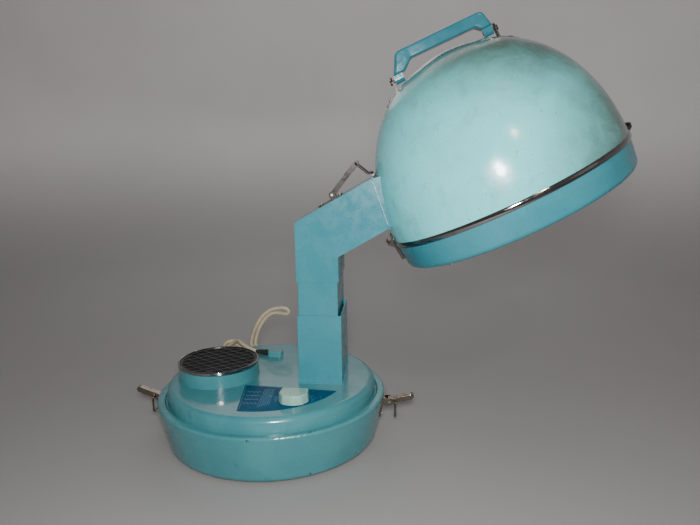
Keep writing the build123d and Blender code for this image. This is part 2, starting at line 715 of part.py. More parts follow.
def hood_spot(fore, across, up):
    """A place in the hood's own frame: along the band, across it and up its axis."""
    return hood_frame.location * Location((fore, across, up))


with BuildPart() as handle_brackets:
    # a strap that lies on the dome, with an upright ear for the pin
    with Locations(*[hood_spot(side * (EAR_T[0] + BRACKET_FAR) / 2, 0, 160) for side in (-1, 1)]):
        Box(BRACKET_FAR - EAR_T[0], 2 * BRACKET_HALF, 60,
            align=(Align.CENTER, Align.CENTER, Align.MIN))
    add(dome_form(BRACKET_T).part, mode=Mode.INTERSECT)
    with Locations(*[hood_spot(side * EAR_MID, 0, 175) for side in (-1, 1)]):
        Box(EAR_T[1] - EAR_T[0], 2 * BRACKET_HALF - 3, HANDLE_PIVOT_N - 175,
            align=(Align.CENTER, Align.CENTER, Align.MIN))
    with Locations(*[hood_spot(side * EAR_MID, 0, HANDLE_PIVOT_N) for side in (-1, 1)]):
        Cylinder(BRACKET_HALF - 1.5, EAR_T[1] - EAR_T[0], rotation=(0, 90, 0))
        Cylinder(PIN_R, 20, rotation=(0, 90, 0), mode=Mode.SUBTRACT)
    add(dome_form(0.0).part, mode=Mode.SUBTRACT)
save(handle_brackets, "handle_brackets")

with BuildPart() as bracket_rivets:
    with Locations(*[hood_spot(fore, across, 160) for fore, across in RIVET_AT]):
        Cylinder(2.4, 60, align=(Align.CENTER, Align.CENTER, Align.MIN))
    add(dome_form(BRACKET_T + 1.0).part, mode=Mode.INTERSECT)
    add(dome_form(BRACKET_T).part, mode=Mode.SUBTRACT)
save(bracket_rivets, "bracket_rivets")

# ========================================================== clasp on the elbow
# top_plane: x up the elbow's slope from its rear corner, y across, z off the face
slope_dir = Vector(math.cos(slope), 0, math.sin(slope))
top_plane = Plane(
    origin=(ELBOW_BACK[0], ARM_Y, ELBOW_BACK[1]),
    x_dir=slope_dir,
    z_dir=(-math.sin(slope), 0, math.cos(slope)),
)
clasp_section = Plane(origin=top_plane.origin, x_dir=slope_dir, z_dir=(0, -1, 0))
CLASP_S = 58.0
CLASP_N = 6.4
CLASP_PIN_R = 1.6
CLASP_LEVER_HALF = 6.0
CLASP_EAR = (6.6, 8.0)
VERTEX = (126.0, 399.0)


def on_section(x, z):
    """A point of the arm's middle plane, in the clasp section's own x and y."""
    local = clasp_section.to_local_coords(Vector(x, ARM_Y, z))
    return (local.X, local.Y)


with BuildPart(top_plane) as clasp_plate:
    with Locations((52, 0, 0)):
        Box(38, 24, 1.6, align=(Align.CENTER, Align.CENTER, Align.MIN))
    fillet(clasp_plate.edges().filter_by(lambda e: abs(e.length - 1.6) < 1e-3), 4)
    for across in (-1, 1):
        with Locations((CLASP_S, across * (CLASP_EAR[0] + CLASP_EAR[1]) / 2, 0)):
            Box(9, CLASP_EAR[1] - CLASP_EAR[0], CLASP_N,
                align=(Align.CENTER, Align.CENTER, Align.MIN))
        with Locations((CLASP_S, across * (CLASP_EAR[0] + CLASP_EAR[1]) / 2, CLASP_N)):
            Cylinder(4.5, CLASP_EAR[1] - CLASP_EAR[0], rotation=(90, 0, 0))
    with Locations((CLASP_S, 0, CLASP_N)):
        Cylinder(CLASP_PIN_R, 30, rotation=(90, 0, 0), mode=Mode.SUBTRACT)
save(clasp_plate, "clasp_plate")

with BuildPart(top_plane) as clasp_pin:
    with Locations((CLASP_S, 0, CLASP_N)):
        Cylinder(CLASP_PIN_R, 2 * CLASP_EAR[1] + 1.6, rotation=(90, 0, 0))
save(clasp_pin, "clasp_pin")

with BuildPart(top_plane) as clasp_rivets:
    with Locations((38, 6, 1.6), (38, -6, 1.6), (67.5, 0, 1.6)):
        Cylinder(2.4, 1.0, align=(Align.CENTER, Align.CENTER, Align.MIN))
save(clasp_rivets, "clasp_rivets")

vertex = on_section(*VERTEX)
lever_dir = Vector(vertex[0] - CLASP_S, vertex[1] - CLASP_N).normalized()
lever_side = Vector(-lever_dir.Y, lever_dir.X)
BAIL_R = 1.5


def lever_point(along, off):
    """A point beside the lever's line, from its pin."""
    spot = Vector(CLASP_S, CLASP_N) + lever_dir * along + lever_side * off
    return (spot.X, spot.Y)


LEVER_LEN = math.dist((CLASP_S, CLASP_N), vertex)
with BuildPart() as clasp_lever:
    # a channel from the pin to the bail's bar, open towards the elbow
    with BuildSketch(clasp_section):
        with BuildLine():
            FilletPolyline(
                lever_point(-4.2, 3.6), lever_point(LEVER_LEN + 3.8, 3.6),
                lever_point(LEVER_LEN + 3.8, -3.8), lever_point(14, -3.0),
                lever_point(-4.2, -3.6),
                radius=[2.5, 2.5, 2.5, 0, 2.5], close=True,
            )
        make_face()
    extrude(amount=CLASP_LEVER_HALF, both=True)
    with BuildSketch(clasp_section):
        with BuildLine():
            Polyline(
                lever_point(6, 2.2), lever_point(LEVER_LEN - 4, 2.2),
                lever_point(LEVER_LEN - 4, -8), lever_point(6, -8), close=True,
            )
        make_face()
    extrude(amount=CLASP_LEVER_HALF - 1.4, both=True, mode=Mode.SUBTRACT)
    with BuildSketch(clasp_section):
        with Locations((CLASP_S, CLASP_N)):
            Circle(CLASP_PIN_R + RUNNING_GAP)
        with Locations(vertex):
            Circle(BAIL_R + RUNNING_GAP)
    extrude(amount=20, both=True, mode=Mode.SUBTRACT)
save(clasp_lever, "clasp_lever")

# the strike stands on the port's flange and carries the end of the bail
STRIKE_UP = FLANGE_H / 2
BAR_UP = STRIKE_UP + 4.0
with BuildPart() as clasp_strike:
    with BuildSketch(out_plane.offset(PORT_GAP)):
        with Locations((0, STRIKE_UP + 1.0)):
            Rectangle(16, 2.0)
    extrude(amount=3.0)
save(clasp_strike, "clasp_strike")

bar_at = out_plane.from_local_coords(Vector(0, BAR_UP, PORT_GAP + 0.8))
bend_at = (VERTEX[0] + 17.5, VERTEX[1] - 14.0)
BAIL_HALF = 9.5
bail_route = [
    (VERTEX[0], ARM_Y - BAIL_HALF, VERTEX[1]),
    (bend_at[0], ARM_Y - BAIL_HALF, bend_at[1]),
    (bar_at.X, ARM_Y - BAIL_HALF, bar_at.Z),
    (bar_at.X, ARM_Y + BAIL_HALF, bar_at.Z),
    (bend_at[0], ARM_Y + BAIL_HALF, bend_at[1]),
    (VERTEX[0], ARM_Y + BAIL_HALF, VERTEX[1]),
]


def wire_loop(route, wire_r, bend_r):
    """A closed loop of round wire along straight runs with rounded corners."""
    with BuildPart() as loop:
        with BuildLine() as line:
            FilletPolyline(*route, radius=bend_r, close=True)
        start = line.wires()[0]
        with BuildSketch(Plane(origin=start @ 0, z_dir=start % 0)):
            Circle(wire_r)
        sweep(path=start)
    return loop


clasp_bail = wire_loop(bail_route, BAIL_R, 3.0)
save(clasp_bail, "clasp_bail")

# ================================================================= base latches
LATCH_X = 172.5
LATCH_Z = 55.0
LATCH_PIN_R = 1.6
LATCH_EAR = (6.7, 8.2)
LATCH_LEVER_HALF = 6.0
LINK_AT = 9.0
LINK_R = 1.4
LINK_HALF = 10.3
LINK_DROP = 24.0
PLATE_Z = (34.0, 67.0)


def pan_side(z):
    """The pan's outer radius at a height on its straight side."""
    share = (z - FOOT_H) / (LEDGE_Z - 1.0 - FOOT_H)
    return PAN_R_LOW + (PAN_R - PAN_R_LOW) * share


def latch_plate(side):
    """The riveted bracket of one latch: side is 1 at the front and -1 at the rear."""
    with BuildPart() as plate:
        with BuildSketch(Plane.XZ):
            with BuildLine():
                Polyline(
                    (side * 140, PLATE_Z[0]), (side * (pan_side(PLATE_Z[0]) + 1.8), PLATE_Z[0]),
                    (side * (pan_side(PLATE_Z[1]) + 1.8), PLATE_Z[1]), (side * 140, PLATE_Z[1]),
                    close=True,
                )
            make_face()
        extrude(amount=12, both=True)
        for across in (-1, 1):
            middle = across * (LATCH_EAR[0] + LATCH_EAR[1]) / 2
            with Locations((side * (LATCH_X - 6), middle, LATCH_Z)):
                Box(12, LATCH_EAR[1] - LATCH_EAR[0], 10)
            with Locations((side * LATCH_X, middle, LATCH_Z)):
                Cylinder(5, LATCH_EAR[1] - LATCH_EAR[0], rotation=(90, 0, 0))
        with Locations((side * LATCH_X, 0, LATCH_Z)):
            Cylinder(LATCH_PIN_R, 40, rotation=(90, 0, 0), mode=Mode.SUBTRACT)
        add(pan_form.part, mode=Mode.SUBTRACT)
    return plate


def latch_pin(side):
    """The pin of one latch."""
    with BuildPart() as pin:
        with Locations((side * LATCH_X, 0, LATCH_Z)):
            Cylinder(LATCH_PIN_R, 2 * LATCH_EAR[1], rotation=(90, 0, 0))
    return pin


def latch_rivets(side):
    """The rivet heads on one latch's plate."""
    with BuildPart() as rivets:
        for z in (39.0, 62.5):
            lean = math.atan2(PAN_R - PAN_R_LOW, LEDGE_Z - 1.0 - FOOT_H)
            outward = Vector(side * math.cos(lean), 0, -math.sin(lean))
            foot = Plane(origin=(side * (pan_side(z) + 1.8), 0, z), z_dir=outward)
            for across in (-9.6, 9.6):
                with BuildSketch(foot):
                    with Locations(foot.to_local_coords(Vector(side * (pan_side(z) + 1.8), across, z))):
                        Circle(1.9)
                extrude(amount=1.0)
    return rivets


def latch_lever(side, tilt):
    """The finger lever, sticking out and up by tilt degrees."""
    lean = math.radians(tilt)
    section = Plane(
        origin=(side * LATCH_X, 0, LATCH_Z),
        x_dir=(side * math.cos(lean), 0, math.sin(lean)),
        z_dir=(0, -side, 0),
    )
    with BuildPart() as lever:
        with BuildSketch(section):
            with BuildLine():
                FilletPolyline(
                    (-3.4, 4.4), (33, 3.6), (36.5, 1.5), (36.5, -2), (33, -4.4), (-3.4, -4.0),
                    radius=[3, 2.5, 1.5, 1.5, 2.5, 3], close=True,
                )
            make_face()
        extrude(amount=LATCH_LEVER_HALF, both=True)
        fillet(lever.faces().filter_by(Axis.Y).edges(), 1.2)
        with BuildSketch(section):
            with BuildLine():
                Polyline((14, -1.4), (32, -1.4), (32, -8), (14, -8), close=True)
            make_face()
        extrude(amount=LATCH_LEVER_HALF - 1.8, both=True, mode=Mode.SUBTRACT)
        with BuildSketch(section):
            Circle(LATCH_PIN_R + RUNNING_GAP)
            with Locations((LINK_AT, 0)):
                Circle(LINK_R + RUNNING_GAP)
        extrude(amount=20, both=True, mode=Mode.SUBTRACT)
    return lever


def latch_link(side, tilt):
    """The wire link that hangs from the lever."""
    x = side * (LATCH_X + LINK_AT * math.cos(math.radians(tilt)))
    z = LATCH_Z + LINK_AT * math.sin(math.radians(tilt))
    corners = [
        (x, -LINK_HALF, z), (x, -LINK_HALF, z - LINK_DROP),
        (x, LINK_HALF, z - LINK_DROP), (x, LINK_HALF, z),
    ]
    return wire_loop(corners, LINK_R, 2.6)


LATCHES = (("front", 1, 14.0), ("rear", -1, 22.0))
for label, side, tilt in LATCHES:
    save(latch_lever(side, tilt), f"{label}_latch_lever")
    save(latch_link(side, tilt), f"{label}_latch_link")

with BuildPart() as latch_plates:
    for label, side, tilt in LATCHES:
        add(latch_plate(side).part)
save(latch_plates, "latch_plates")

with BuildPart() as latch_pins:
    for label, side, tilt in LATCHES:
        add(latch_pin(side).part)
save(latch_pins, "latch_pins")

with BuildPart() as latch_plate_rivets:
    for label, side, tilt in LATCHES:
        add(latch_rivets(side).part)
save(latch_plate_rivets, "latch_rivets")

# ================================================================== power cord
GLAND_AT = (-12.0, 86.0)
GLAND_SIZE = (24.0, 18.0, 9.0)
CORD_Z = COVER_Z + 4.2
with BuildPart() as cord_gland:
    with BuildSketch(Plane.XY.offset(COVER_Z)):
        with Locations(GLAND_AT):
            RectangleRounded(GLAND_SIZE[0], GLAND_SIZE[1], 5)
    extrude(amount=GLAND_SIZE[2], taper=4)
    fillet(cord_gland.faces().sort_by(Axis.Z)[-1].edges(), 1.6)
save(cord_gland, "cord_gland")

RELIEF_FROM = (GLAND_AT[0] - GLAND_SIZE[0] / 2 + 1.0, GLAND_AT[1] + 2.0, CORD_Z)
CORD_ROUTE = [
    (-45, 92, CORD_Z), (-58, 98.5, CORD_Z + 2.5), (-70, 108.5, CORD_Z + 5.5),
    (-79.5, 121.5, CORD_Z + 6.5), (-87.5, 136, 99.0), (-94, 149, 90.0),
]
relief_dir = (Vector(*CORD_ROUTE[0]) - Vector(*RELIEF_FROM)).normalized()
relief_len = (Vector(*CORD_ROUTE[0]) - Vector(*RELIEF_FROM)).length
with BuildPart() as strain_relief:
    # a tapered sleeve, thick at the gland
    with BuildSketch(Plane(origin=RELIEF_FROM, z_dir=relief_dir)):
        Circle(4.1)
    with BuildSketch(Plane(origin=CORD_ROUTE[0], z_dir=relief_dir)):
        Circle(CORD_D / 2 + 0.3)
    loft()
    add(cord_gland.part, mode=Mode.SUBTRACT)
save(strain_relief, "strain_relief")

# The hank stands on the table and leans on the pan's back. Its own plane has x
# along the base and y up the lean.
HANK_Y = 187.5
HANK_LEAN = math.radians(20)
HANK_LOW = (-36.0, 24.5)
HANK_HIGH = (-100.0, 84.5)
HANK_OUTER = 20.0
HANK_T = 18.0
hank_plane = Plane(
    origin=(0, HANK_Y, 0),
    x_dir=(1, 0, 0),
    z_dir=(0, -math.cos(HANK_LEAN), -math.sin(HANK_LEAN)),
)
hank_run = Vector(HANK_HIGH[0] - HANK_LOW[0], HANK_HIGH[1] - HANK_LOW[1])
hank_turn = math.degrees(math.atan2(hank_run.Y, hank_run.X))
hank_middle = ((HANK_LOW[0] + HANK_HIGH[0]) / 2, (HANK_LOW[1] + HANK_HIGH[1]) / 2)
with BuildPart() as cord_hank:
    with BuildSketch(hank_plane):
        with Locations(Location((*hank_middle, 0), (0, 0, hank_turn))):
            SlotCenterToCenter(hank_run.length, 2 * HANK_OUTER)
            SlotCenterToCenter(hank_run.length, 2 * (HANK_OUTER - 2 * CORD_D), mode=Mode.SUBTRACT)
    extrude(amount=HANK_T / 2, both=True)
save(cord_hank, "cord_hank")

LOOP_ROUTE = [
    (-72, 160.5, 78), (-66.5, 158.5, 100), (-58.5, 156, 120), (-46.5, 155, 138), (-32, 154, 149),
    (-16, 153, 152.5), (-2.5, 152.5, 151), (-1.5, 153, 140.5), (-13, 155, 141.5),
    (-27, 157, 141.5), (-40, 158, 132.5), (-51, 158.5, 117), (-58.5, 158.5, 98), (-62.5, 158, 78),
]
TAIL_ROUTE = [
    (-27, 173, 39), (-14, 177, 26), (-1, 182.5, 13.5), (13, 187.5, 5.5), (29, 189, 4.6), (44, 189, 6.5),
]


def arc_radii(route):
    """The largest radius that each corner's two runs leave room for."""
    points = [Vector(*point) for point in route]
    radii = []
    for before, corner, after in zip(points, points[1:], points[2:]):
        turn = (corner - before).get_angle(after - corner)
        shorter = min((corner - before).length, (after - corner).length)
        radii.append(0.45 * shorter / math.tan(math.radians(turn / 2)))
    return radii


def cord_tube(route, name):
    """Straight runs joined by tangent arcs, swept with the cord's section."""
    radii = arc_radii(route)
    with BuildPart() as tube:
        with BuildLine() as line:
            FilletPolyline(*route, radius=radii)
        path = line.wires()[0]
        with BuildSketch(Plane(origin=path @ 0, z_dir=path % 0)):
            Circle(CORD_D / 2)
        sweep(path=path)
    return tube


power_cord = cord_tube(CORD_ROUTE, "power_cord")
save(power_cord, "power_cord")
cord_loop = cord_tube(LOOP_ROUTE, "cord_loop")
save(cord_loop, "cord_loop")
cord_tail = cord_tube(TAIL_ROUTE, "cord_tail")
save(cord_tail, "cord_tail")

PLUG_X0 = 44.0
PLUG_Y = 189.0
PLUG_Z = 6.5
with BuildPart() as plug_body:
    with BuildSketch(Plane.YZ.offset(PLUG_X0)):
        with Locations((PLUG_Y, PLUG_Z)):
            RectangleRounded(11, 10, 4)
    with BuildSketch(Plane.YZ.offset(PLUG_X0 + 16)):
        with Locations((PLUG_Y, PLUG_Z)):
            RectangleRounded(24, 12.4, 4)
    loft()
    with BuildSketch(Plane.YZ.offset(PLUG_X0 + 16)):
        with Locations((PLUG_Y, PLUG_Z)):
            RectangleRounded(24, 12.4, 4)
    extrude(amount=10)
    fillet(plug_body.faces().sort_by(Axis.X)[-1].edges(), 1.2)
save(plug_body, "plug_body")

with BuildPart() as plug_blades:
    with Locations((PLUG_X0 + 26, PLUG_Y - 6.35, PLUG_Z), (PLUG_X0 + 26, PLUG_Y + 6.35, PLUG_Z)):
        Box(16, 1.5, 6.4, align=(Align.MIN, Align.CENTER, Align.CENTER))
save(plug_blades, "plug_blades")
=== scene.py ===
import json
import math

import bmesh
import bpy
from mathutils import Matrix, Vector


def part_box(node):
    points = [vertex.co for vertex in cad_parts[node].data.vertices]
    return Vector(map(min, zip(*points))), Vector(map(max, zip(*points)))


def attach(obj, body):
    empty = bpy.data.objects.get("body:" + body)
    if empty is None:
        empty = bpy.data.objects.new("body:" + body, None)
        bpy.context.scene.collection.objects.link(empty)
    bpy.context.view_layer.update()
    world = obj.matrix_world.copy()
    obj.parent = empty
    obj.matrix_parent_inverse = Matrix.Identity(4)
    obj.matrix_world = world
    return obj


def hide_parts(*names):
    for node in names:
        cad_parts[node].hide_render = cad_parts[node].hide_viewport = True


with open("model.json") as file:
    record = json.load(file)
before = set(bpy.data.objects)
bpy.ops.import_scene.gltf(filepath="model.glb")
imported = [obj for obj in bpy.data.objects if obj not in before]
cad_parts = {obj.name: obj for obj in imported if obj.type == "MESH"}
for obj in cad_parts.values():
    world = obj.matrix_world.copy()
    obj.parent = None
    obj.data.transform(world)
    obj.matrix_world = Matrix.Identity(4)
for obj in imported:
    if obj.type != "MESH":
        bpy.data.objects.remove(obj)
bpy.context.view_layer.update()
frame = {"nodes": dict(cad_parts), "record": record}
NODES = frame["nodes"]

MM = 0.001


def mm(x, y, z):
    return Vector((x, y, z)) * MM


# ------------------------------------------------------------------ materials
class Graph:
    """A material's node tree, with short calls for the nodes that it is made of."""

    def __init__(self, name):
        self.mat = bpy.data.materials.new(name)
        self.mat.use_nodes = True
        self.tree = self.mat.node_tree
        self.tree.nodes.clear()
        self.out = self.tree.nodes.new("ShaderNodeOutputMaterial")
        self.bsdf = self.tree.nodes.new("ShaderNodeBsdfPrincipled")
        self.join(self.bsdf.outputs[0], self.out.inputs["Surface"])
        coords = self.tree.nodes.new("ShaderNodeTexCoord")
        self.place = coords.outputs["Object"]

    def join(self, source, target):
        self.tree.links.new(source, target)

    def stretched(self, scale):
        """The object's coordinates, scaled along each axis."""
        node = self.tree.nodes.new("ShaderNodeMapping")
        node.inputs["Scale"].default_value = scale
        self.join(self.place, node.inputs["Vector"])
        return node.outputs[0]

    def noise(self, scale, detail=3.0, rough=0.55, place=None, warp=0.0):
        node = self.tree.nodes.new("ShaderNodeTexNoise")
        node.inputs["Scale"].default_value = scale
        node.inputs["Detail"].default_value = detail
        node.inputs["Roughness"].default_value = rough
        node.inputs["Distortion"].default_value = warp
        self.join(place or self.place, node.inputs["Vector"])
        return node.outputs["Fac"]

    def band(self, value, low, high, to_low=0.0, to_high=1.0):
        """value mapped from low..high to to_low..to_high, clamped."""
        node = self.tree.nodes.new("ShaderNodeMapRange")
        node.clamp = True
        node.interpolation_type = "SMOOTHSTEP"
        node.inputs["From Min"].default_value = low
        node.inputs["From Max"].default_value = high
        node.inputs["To Min"].default_value = to_low
        node.inputs["To Max"].default_value = to_high
        self.join(value, node.inputs["Value"])
        return node.outputs[0]

    def math(self, how, a, b):
        node = self.tree.nodes.new("ShaderNodeMath")
        node.operation = how
        for socket, value in zip(node.inputs, (a, b)):
            if isinstance(value, (int, float)):
                socket.default_value = value
            else:
                self.join(value, socket)
        return node.outputs[0]

    def mix(self, share, a, b):
        """Colour a, turning to colour b by share."""
        node = self.tree.nodes.new("ShaderNodeMix")
        node.data_type = "RGBA"
        self.join(share, node.inputs[0])
        for socket, value in ((node.inputs[6], a), (node.inputs[7], b)):
            if isinstance(value, (tuple, list)):
                socket.default_value = (*value, 1.0)
            else:
                self.join(value, socket)
        return node.outputs[2]

    def part_of_place(self, axis):
        node = self.tree.nodes.new("ShaderNodeSeparateXYZ")
        self.join(self.place, node.inputs[0])
        return node.outputs[axis]

    def edges(self, radius):
        """1 at the sharp edges and 0 on the flats."""
        bevel = self.tree.nodes.new("ShaderNodeBevel")
        bevel.samples = 4
        bevel.inputs["Radius"].default_value = radius
        geometry = self.tree.nodes.new("ShaderNodeNewGeometry")
        dot = self.tree.nodes.new("ShaderNodeVectorMath")
        dot.operation = "DOT_PRODUCT"
        self.join(bevel.outputs[0], dot.inputs[0])
        self.join(geometry.outputs["Normal"], dot.inputs[1])
        return self.band(dot.outputs["Value"], 0.80, 0.99, 1.0, 0.0)

    def bump(self, height, strength, distance=0.0005, over=None):
        node = self.tree.nodes.new("ShaderNodeBump")
        node.inputs["Strength"].default_value = strength
        node.inputs["Distance"].default_value = distance
        self.join(height, node.inputs["Height"])
        if over is not None:
            self.join(over, node.inputs["Normal"])
        return node.outputs[0]

    def finish(
        self, colour, rough, normal=None, metallic=0.0, coat=0.0, coat_rough=0.05, ior=1.5, shine=0.5
    ):
        sockets = self.bsdf.inputs
        self.join(colour, sockets["Base Color"])
        self.join(rough, sockets["Roughness"])
        if normal is not None:
            self.join(normal, sockets["Normal"])
        sockets["Metallic"].default_value = metallic
        sockets["Coat Weight"].default_value = coat
        sockets["Coat Roughness"].default_value = coat_rough
        sockets["IOR"].default_value = ior
        sockets["Specular IOR Level"].default_value = shine
        return self.mat


def scaled(colour, factor):
    return tuple(min(1.0, channel * factor) for channel in colour)


def moulded(
    name, colour, faded, grime, gloss=0.22, patch=9.0, patina=0.5, chips=None, coat=0.2, swirl=1.2
):
    """Aged glossy plastic: faded patches, grime in soft clouds, fine specks and scratches."""
    g = Graph(name)
    clouds = g.noise(patch, 5.0, 0.62, warp=0.4)
    tone = g.mix(g.band(clouds, 0.36, 0.66), colour, faded)
    smear = g.noise(patch * 3.1, 6.0, 0.7, warp=swirl)
    tone = g.mix(g.band(smear, 0.56, 0.80, 0.0, patina), tone, grime)
    specks = g.noise(420.0, 2.0, 0.5)
    tone = g.mix(g.band(specks, 0.66, 0.74, 0.0, 0.35), tone, scaled(grime, 0.7))
    scratches = g.noise(60.0, 3.0, 0.6, place=g.stretched((1.0, 9.0, 1.0)))
    tone = g.mix(g.band(scratches, 0.70, 0.76, 0.0, 0.25), tone, scaled(faded, 1.2))
    worn = g.math("MULTIPLY", g.edges(0.0016), g.band(g.noise(70.0, 4.0), 0.40, 0.62))
    tone = g.mix(g.math("MULTIPLY", worn, 0.55), tone, scaled(faded, 1.25))
    if chips is not None:
        spots = g.math("MULTIPLY", g.band(g.noise(46.0, 4.0, 0.6), 0.70, 0.73), 0.9)
        tone = g.mix(spots, tone, chips)
    haze = g.band(smear, 0.35, 0.75, gloss * 0.75, gloss * 1.6)
    rough = g.math("ADD", haze, g.band(scratches, 0.62, 0.76, 0.0, 0.12))
    ripple = g.bump(g.noise(26.0, 2.0), 0.10, 0.0012)
    fine = g.bump(g.noise(900.0, 2.0), 0.05, 0.0002, over=ripple)
    return g.finish(tone, rough, fine, coat=coat, coat_rough=0.08)


def plated(
    name, colour, tarnish, rough=0.10, spots=0.35, scale=60.0, metallic=1.0, shine=0.5
):
    """Bright plating with dull clouds, pin-point rust and a slightly uneven surface."""
    g = Graph(name)
    clouds = g.noise(scale, 5.0, 0.65, warp=0.6)
    tone = g.mix(g.band(clouds, 0.48, 0.74, 0.0, spots), colour, tarnish)
    pits = g.noise(scale * 9.0, 2.0, 0.5)
    tone = g.mix(g.band(pits, 0.68, 0.76, 0.0, 0.7), tone, scaled(tarnish, 0.5))
    dull = g.band(clouds, 0.40, 0.75, rough, rough + 0.22)
    normal = g.bump(g.noise(scale * 1.5, 2.0), 0.12, 0.0006)
    return g.finish(tone, dull, normal, metallic=metallic, shine=shine)


def brushed(name, colour, rough=0.34, along=(1.0, 1.0, 30.0)):
    """Drawn or turned metal with fine lines and dull handling marks."""
    g = Graph(name)
    lines = g.noise(160.0, 3.0, 0.6, place=g.stretched(along))
    tone = g.mix(g.band(lines, 0.3, 0.7), scaled(colour, 0.78), scaled(colour, 1.12))
    marks = g.noise(38.0, 4.0, 0.6)
    tone = g.mix(g.band(marks, 0.55, 0.8, 0.0, 0.5), tone, scaled(colour, 0.5))
    dull = g.band(marks, 0.3, 0.7, rough, rough + 0.18)
    return g.finish(tone, dull, g.bump(lines, 0.2, 0.0003), metallic=1.0)


def dull_plastic(name, colour, dust, rough=0.55, grain=500.0, bump=0.2, dusting=0.3):
    """Matt plastic, rubber or board with a fine grain and dust in patches."""
    g = Graph(name)
    grains = g.noise(grain, 3.0, 0.6)
    tone = g.mix(g.band(grains, 0.3, 0.7), scaled(colour, 0.85), scaled(colour, 1.15))
    tone = g.mix(g.band(g.noise(24.0, 5.0, 0.65), 0.5, 0.78, 0.0, dusting), tone, dust)
    worn = g.math("MULTIPLY", g.edges(0.0010), g.band(g.noise(90.0, 4.0), 0.42, 0.62))
    tone = g.mix(g.math("MULTIPLY", worn, 0.4), tone, dust)
    dull = g.band(g.noise(60.0, 4.0), 0.3, 0.7, rough, min(1.0, rough + 0.2))
    return g.finish(tone, dull, g.bump(grains, bump, 0.0003))


def dome_enamel(name):
    """The bonnet's polished plastic: pale and mottled, with painted shade that darkens it towards its
    crown and the side away from the duct.
    """
    g = Graph(name)
    base = (0.195, 0.760, 0.800)
    tone = g.mix(g.band(g.noise(7.0, 5.0, 0.6, warp=0.5), 0.35, 0.68), base, (0.240, 0.860, 0.890))
    mottle = g.noise(26.0, 7.0, 0.72, warp=0.5)
    tone = g.mix(g.band(mottle, 0.50, 0.76, 0.0, 0.55), tone, (0.130, 0.310, 0.290))
    blotch = g.noise(5.0, 4.0, 0.6, warp=0.8)
    tone = g.mix(g.band(blotch, 0.54, 0.74, 0.0, 0.35), tone, (0.140, 0.320, 0.295))
    # painted shade: the crown and the side away from the duct are darkened and greyed, broken up by
    # the mottle
    far_side = g.band(g.part_of_place(0), 0.32, 0.46, 0.0, 0.95)
    crown = g.band(g.part_of_place(2), 0.445, 0.56, 0.0, 1.0)
    painted_shade = g.math("MULTIPLY", g.math("MAXIMUM", far_side, crown), g.band(mottle, 0.25, 0.6, 0.65, 1.0))
    tone = g.mix(painted_shade, tone, (0.100, 0.160, 0.130))
    specks = g.noise(300.0, 2.0, 0.5)
    tone = g.mix(g.band(specks, 0.66, 0.74, 0.0, 0.45), tone, (0.12, 0.20, 0.17))
    scuffs = g.noise(52.0, 3.0, 0.6, place=g.stretched((1.0, 6.0, 1.0)))
    tone = g.mix(g.band(scuffs, 0.70, 0.76, 0.0, 0.3), tone, (0.62, 0.78, 0.74))
    haze = g.band(mottle, 0.35, 0.75, 0.16, 0.34)
    rough = g.math("ADD", haze, g.band(scuffs, 0.62, 0.76, 0.0, 0.12))
    normal = g.bump(g.noise(14.0, 2.0), 0.10, 0.0015)
    normal = g.bump(g.noise(800.0, 2.0), 0.05, 0.0002, over=normal)
    return g.finish(tone, rough, normal, coat=0.3, coat_rough=0.1)


def vinyl(name, colour, grime):
    """Aged cord vinyl: dulled, with dirt rubbed in along it."""
    g = Graph(name)
    tone = g.mix(g.band(g.noise(40.0, 5.0, 0.6), 0.35, 0.7), colour, scaled(colour, 0.84))
    tone = g.mix(g.band(g.noise(160.0, 5.0, 0.7, warp=1.0), 0.56, 0.76, 0.0, 0.6), tone, grime)
    dull = g.band(g.noise(90.0, 3.0), 0.3, 0.7, 0.38, 0.55)
    return g.finish(tone, dull, g.bump(g.noise(700.0, 2.0), 0.15, 0.0002), coat=0.1, coat_rough=0.3)


def blue_enamel(name):
    """The printed plate: deep blue, slightly rubbed."""
    g = Graph(name)
    clouds = g.band(g.noise(30.0, 5.0, 0.6), 0.35, 0.7)
    tone = g.mix(clouds, (0.003, 0.062, 0.130), (0.005, 0.090, 0.180))
    rubs = g.noise(120.0, 6.0, 0.7, warp=1.0)
    tone = g.mix(g.band(rubs, 0.62, 0.76, 0.0, 0.5), tone, (0.16, 0.36, 0.44))
    dull = g.band(rubs, 0.3, 0.7, 0.42, 0.6)
    return g.finish(tone, dull, g.bump(g.noise(600.0, 2.0), 0.08, 0.0002), shine=0.12)


